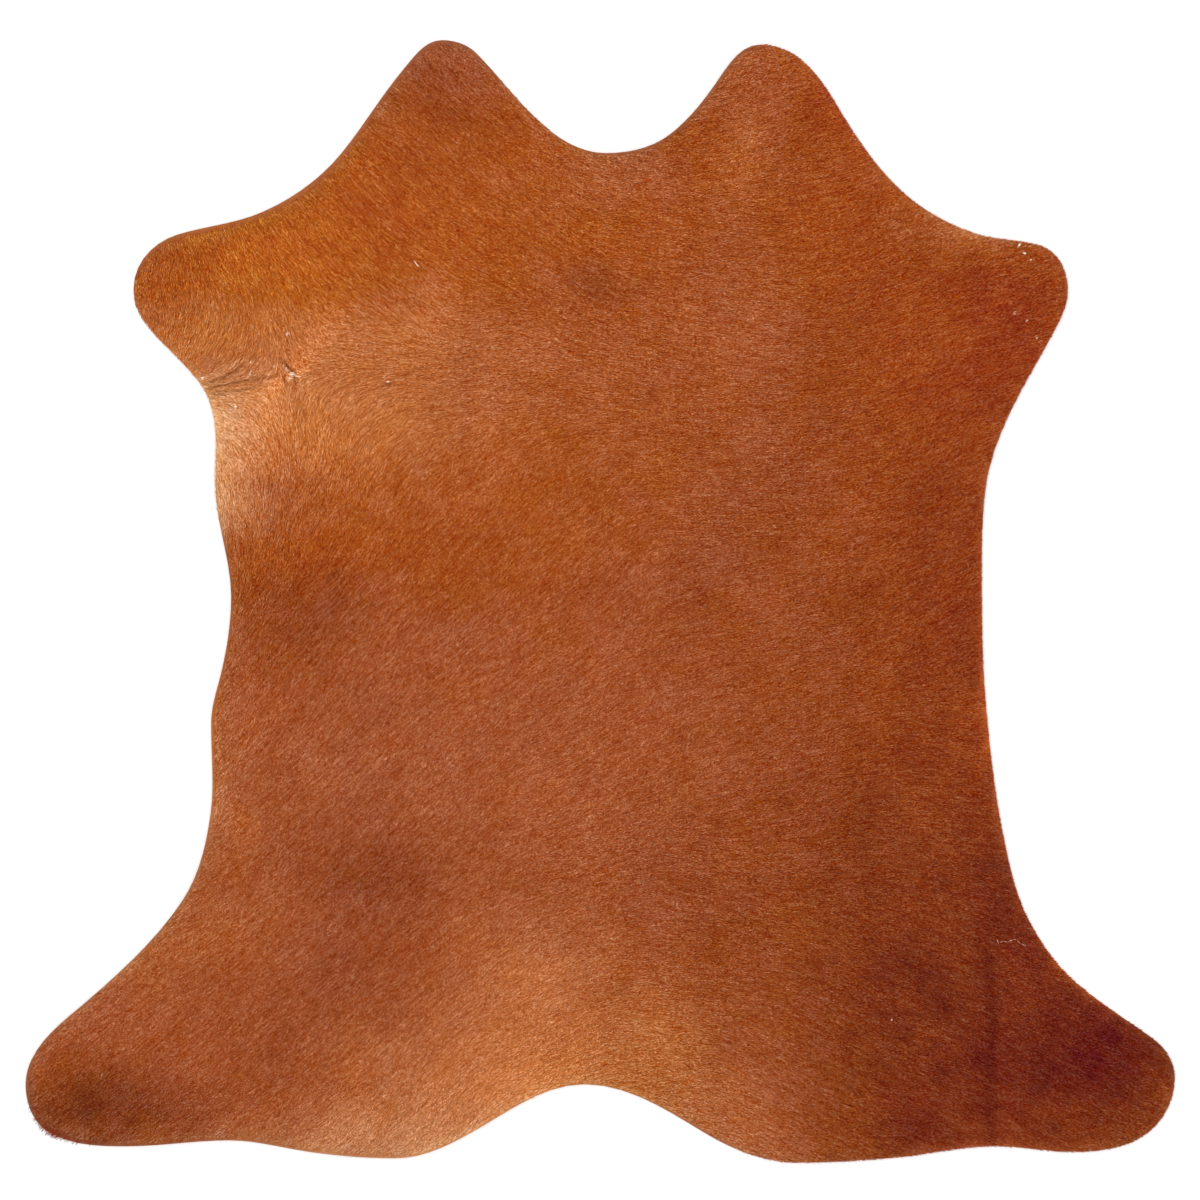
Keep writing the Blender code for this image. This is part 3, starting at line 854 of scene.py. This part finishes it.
def build_skin(node, shape):
    """The tanned skin: the frame's outline, with its top brought down under the coat."""
    mesh = node.data.copy()
    mesh.name = "skin"
    mesh.materials.clear()
    mesh.materials.append(skin_top_material())
    for leather in rows(LEATHER_COLUMNS, LEATHERS):
        mesh.materials.append(leather_material(**leather))
    count = len(mesh.vertices)
    places = np.empty(count * 3, np.float32)
    mesh.vertices.foreach_get("co", places)
    places = places.reshape(-1, 3)
    top = places[:, 2] > FLOOR_LEVEL
    ripple = RIPPLE_HEIGHT * smooth_noise(places[:, :2], RIPPLE_LENGTH, SEED)
    places[top, 2] = np.minimum(places[top, 2], SKIN_THICKNESS) + ripple[top]
    mesh.vertices.foreach_set("co", places.ravel())
    mesh.update()
    for polygon in mesh.polygons:
        if polygon.normal.z > SIDE_NORMAL:
            polygon.material_index = TOP_FACE
        elif polygon.normal.z > -SIDE_NORMAL:
            polygon.material_index = EDGE_FACE
        else:
            polygon.material_index = UNDER_FACE
    spots = places[:, :2].astype(float)
    # The skin's top gets the coat's colour darkened by SKIN_SHADE: painted shade between the locks.
    set_tint(mesh, SKIN_SHADE * mottled(coat_color(spots), spots, shape.read(shape.inset, spots)))
    set_lay(mesh)
    return add_piece("skin", mesh)


def root_places(shape, rng):
    """Roots on a loosened honeycomb over the whole skin."""
    step_y = ROOT_STEP * math.sqrt(3.0) / 2.0
    x = np.arange(shape.low[0], shape.high[0], ROOT_STEP)
    y = np.arange(shape.low[1], shape.high[1], step_y)
    spots = np.stack(np.meshgrid(x, y, indexing="ij"), axis=2)
    spots[:, 1::2, 0] += ROOT_STEP / 2.0
    spots = spots.reshape(-1, 2)
    spots += rng.uniform(-0.5, 0.5, spots.shape) * ROOT_STEP * ROOT_JITTER
    return spots[shape.read(shape.inset, spots) > BARE_MARGIN]


def trimmed(shape, roots, directions, length, rng):
    """Lengths cut so that the tips end close to the cut edge."""
    allowed = -rng.uniform(*OVERHANG, len(roots))
    for place in rows(RAGGED_COLUMNS, RAGGED):
        away = np.hypot(*(roots / MM - (place["x"], place["y"])).T) / place["reach"]
        tuft = np.maximum(smooth_noise(roots, TUFT_CELL, TUFT_SEED), 0.0)
        allowed -= place["extra"] * MM * tuft * np.exp(-(away ** 2))
    for _ in range(TRIM_ROUNDS):
        past = allowed - shape.read(shape.inset, roots + directions * length[:, None])
        length = np.maximum(length - np.maximum(past, 0.0), LEAST_LENGTH)
    return length


def lock_verts(shape, roots, rng):
    """Three points for each lock: its root, the shoulder where it is widest, and its tip."""
    count = len(roots)
    heading, length = lay_of_hair(roots)
    angle = rng.normal(0.0, STRAY, count)
    for index, (turn, cell) in enumerate(WANDER):
        angle += turn * smooth_noise(roots, cell, WANDER_SEED + index)
    length = length * rng.uniform(*LENGTH_RANGE, count)
    width = LOCK_WIDTH * (SHORT_HAIR / length) ** WIDTH_FADE * rng.uniform(*WIDTH_RANGE, count)
    first = turned(heading, angle)
    length = trimmed(shape, roots, first, length, rng)
    shoulder = roots + first * (SHOULDER * length)[:, None]
    bend = rng.normal(0.0, BEND, count)
    second = turned(lay_of_hair(shoulder)[0], angle + bend)
    tip = shoulder + second * ((1.0 - SHOULDER) * length)[:, None]

    root_z = np.full(count, SKIN_THICKNESS - ROOT_SINK)
    coat_height = shape.read(shape.height, tip) - SKIN_THICKNESS
    tip_z = SKIN_THICKNESS + coat_height * rng.uniform(*TIP_RANGE, count)
    shoulder_z = root_z + SHOULDER * (tip_z - root_z)

    roll = rng.normal(0.0, ROLL, count)
    side = np.stack((-first[:, 1], first[:, 0]), axis=1) * np.cos(roll)[:, None]
    side = np.column_stack((side, np.sin(roll)))
    verts = np.empty((count, 3, 3))
    verts[:, 0] = np.column_stack((roots, root_z))
    verts[:, 1] = np.column_stack((shoulder, shoulder_z)) - side * width[:, None]
    verts[:, 2] = np.column_stack((tip, tip_z))
    return verts


def lock_mesh(name, verts, tints, picks):
    """One mesh of many locks, with a bake map that gives each its own cell."""
    count = len(verts)
    corners = count * 3
    mesh = bpy.data.meshes.new(name)
    mesh.vertices.add(corners)
    mesh.vertices.foreach_set("co", verts.astype(np.float32).ravel())
    mesh.loops.add(corners)
    mesh.loops.foreach_set("vertex_index", np.arange(corners, dtype=np.int32))
    mesh.polygons.add(count)
    mesh.polygons.foreach_set("loop_start", np.arange(0, corners, 3, dtype=np.int32))
    mesh.update(calc_edges=True)

    set_tint(mesh, tints.reshape(-1, 3))
    length = np.linalg.norm(verts[:, 2] - verts[:, 0], axis=1) / SHORT_HAIR
    along = (length[:, None] * ALONG).ravel()
    lock = np.stack((np.tile(ACROSS, count), along, np.repeat(picks, 3)), axis=1)
    layer = mesh.attributes.new("lock", "FLOAT_VECTOR", "POINT")
    layer.data.foreach_set("vector", lock.astype(np.float32).ravel())

    columns = int(math.ceil(math.sqrt(count * CELL_SHAPE)))
    lines = int(math.ceil(count / columns))
    number = np.arange(count)
    cell = np.stack((number % columns, number // columns), axis=1).astype(float)
    inside = np.array(CELL_START) + np.array(CELL_SIZE) * np.stack((ACROSS, ALONG), axis=1)
    spots = (cell[:, None, :] + inside[None, :, :]) / (columns, lines)
    layer = mesh.uv_layers.new(name="OFBake")
    layer.data.foreach_set("uv", spots.astype(np.float32).ravel())
    return mesh


def lock_tints(shape, verts, picks):
    """Colour of each point of each lock: its place's colour, the lock's own tone, and the furrows'
    painted shade, painted highlights and marks.
    """
    roots = verts[:, 0, :2]
    place = mottled(coat_color(roots), roots, shape.read(shape.inset, roots))
    length = np.linalg.norm(verts[:, 2] - verts[:, 0], axis=1)
    tone = 2.0 * LOCK_TONE * (picks ** LOCK_SKEW - 1.0 / (1.0 + LOCK_SKEW))
    tone *= np.minimum(SHORT_HAIR / length, SHORT_HAIR_TONE) ** LONG_HAIR_FADE
    tone += COMBED_TONE * combed(verts[:, 1, :2], COMBED_CELL, COMBED_LENGTH, COMBED_SEED)
    tone *= np.interp(srgb_of(place[:, 0]), TONE_REDS, TONE_SHARES)
    # Furrows: painted shade goes by SHADE_BALANCE, painted highlights and paler marks by TONE_BALANCE.
    darker = fold_shade_and_marks(verts[:, :, :2].reshape(-1, 2))[:, None]
    steps = (np.repeat(tone, 3)[:, None] - np.minimum(darker, 0.0)) * TONE_BALANCE
    steps -= np.maximum(darker, 0.0) * SHADE_BALANCE
    return shifted(np.repeat(place, 3, axis=0), steps)


def loose_locks(shape, rng):
    """The single hairs that stand out from the coat and the curled one on it, with their colours."""
    locks = []
    for tuft in rows(LOOSE_HAIR_COLUMNS, LOOSE_HAIRS):
        for _ in range(tuft["count"]):
            spot = np.array((tuft["x"], tuft["y"])) + rng.normal(0.0, tuft["spread"], 2)
            angle = math.radians(tuft["heading"] + rng.uniform(-tuft["fan"], tuft["fan"]))
            span = np.array((math.cos(angle), math.sin(angle))) * tuft["length"]
            span *= rng.uniform(*LOOSE_RANGE)
            locks.append((spot, spot + span, LOOSE_WIDTH, COAT_COLORS[tuft["color"]]))
    curl = np.array(CURL, float)
    for start, end in zip(curl[:-1], curl[1:]):
        locks.append((start, end, CURL_WIDTH, COAT_COLORS["white hair"]))
    starts, ends, widths, colors = (np.array(item) for item in zip(*locks))
    rooted = shape.read(shape.inset, starts * MM) > BARE_MARGIN
    colors = colors[rooted]
    starts, ends, widths = (item[rooted] * MM for item in (starts, ends, widths))
    span = ends - starts
    side = np.column_stack((span[:, 1], -span[:, 0])) / np.hypot(*span.T)[:, None] * widths[:, None]
    verts = np.empty((len(starts), 3, 3))
    for number, spots in enumerate((starts, starts + SHOULDER * span + side, ends)):
        verts[:, number] = np.column_stack((spots, shape.read(shape.height, spots) + LOOSE_LIFT))
    return verts, np.repeat(linear(colors)[:, None], 3, axis=1)


def build_coat(shape):
    rng = np.random.default_rng(SEED)
    roots = root_places(shape, rng)
    roots = roots[np.argsort(-roots[:, 1], kind="stable")]
    verts = lock_verts(shape, roots, rng)
    picks = rng.uniform(0.0, 1.0, len(roots))
    tints = lock_tints(shape, verts, picks).reshape(-1, 3, 3)
    material = coat_material()
    pieces = []
    for number, chosen in enumerate(np.array_split(np.arange(len(roots)), COAT_PARTS)):
        mesh = lock_mesh(f"coat_{number + 1}", verts[chosen], tints[chosen], picks[chosen])
        mesh.materials.append(material)
        pieces.append(add_piece(mesh.name, mesh))
    verts, tints = loose_locks(shape, rng)
    mesh = lock_mesh("loose_hairs", verts, tints, np.full(len(verts), LOOSE_PICK))
    mesh.materials.append(material)
    pieces.append(add_piece(mesh.name, mesh))
    return pieces


# Camera, floor and light -----------------------------------------------------------------------------


def build_camera():
    camera = bpy.data.objects.new("camera", bpy.data.cameras.new("camera"))
    camera.location = (VIEW_CENTER[0], VIEW_CENTER[1], CAMERA_HEIGHT)
    camera.data.sensor_width = SENSOR_WIDTH
    camera.data.lens = SENSOR_WIDTH * CAMERA_HEIGHT / FRAME_WIDTH
    camera.data.clip_start = CLIP_START
    camera.data.clip_end = CLIP_END
    bpy.context.scene.collection.objects.link(camera)
    bpy.context.scene.camera = camera


def build_floor():
    mesh = bpy.data.meshes.new("floor")
    sheet = bmesh.new()
    bmesh.ops.create_grid(sheet, x_segments=1, y_segments=1, size=FLOOR_SIZE)
    sheet.to_mesh(mesh)
    sheet.free()
    material, _, shader = new_material("floor")
    shader.inputs["Base Color"].default_value = FLOOR_COLOR
    shader.inputs["Roughness"].default_value = FLOOR_ROUGHNESS
    shader.inputs["Specular IOR Level"].default_value = FLOOR_GLOSS
    mesh.materials.append(material)
    floor = bpy.data.objects.new("floor", mesh)
    floor.location.z = -FLOOR_DROP
    bpy.context.scene.collection.objects.link(floor)


def build_lights():
    for light in rows(LIGHT_COLUMNS, LIGHTS):
        lamp = bpy.data.lights.new(light["name"], "AREA")
        lamp.size = light["size"]
        lamp.energy = light["power"]
        item = bpy.data.objects.new(light["name"], lamp)
        item.location = (light["x"], light["y"], light["z"])
        item.rotation_euler = (-Vector(item.location)).to_track_quat("-Z", "Y").to_euler()
        bpy.context.scene.collection.objects.link(item)
    world = bpy.data.worlds.new("studio")
    world.use_nodes = True
    background = world.node_tree.nodes["Background"]
    background.inputs["Color"].default_value = (1.0, 1.0, 1.0, 1.0)
    background.inputs["Strength"].default_value = WORLD_STRENGTH
    bpy.context.scene.world = world
    bpy.context.scene.view_settings.view_transform = "Standard"


def main():
    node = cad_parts["hide"]
    shape = Shape(node)
    skin = build_skin(node, shape)
    coat = build_coat(shape)
    build_camera()
    build_floor()
    build_lights()


main()
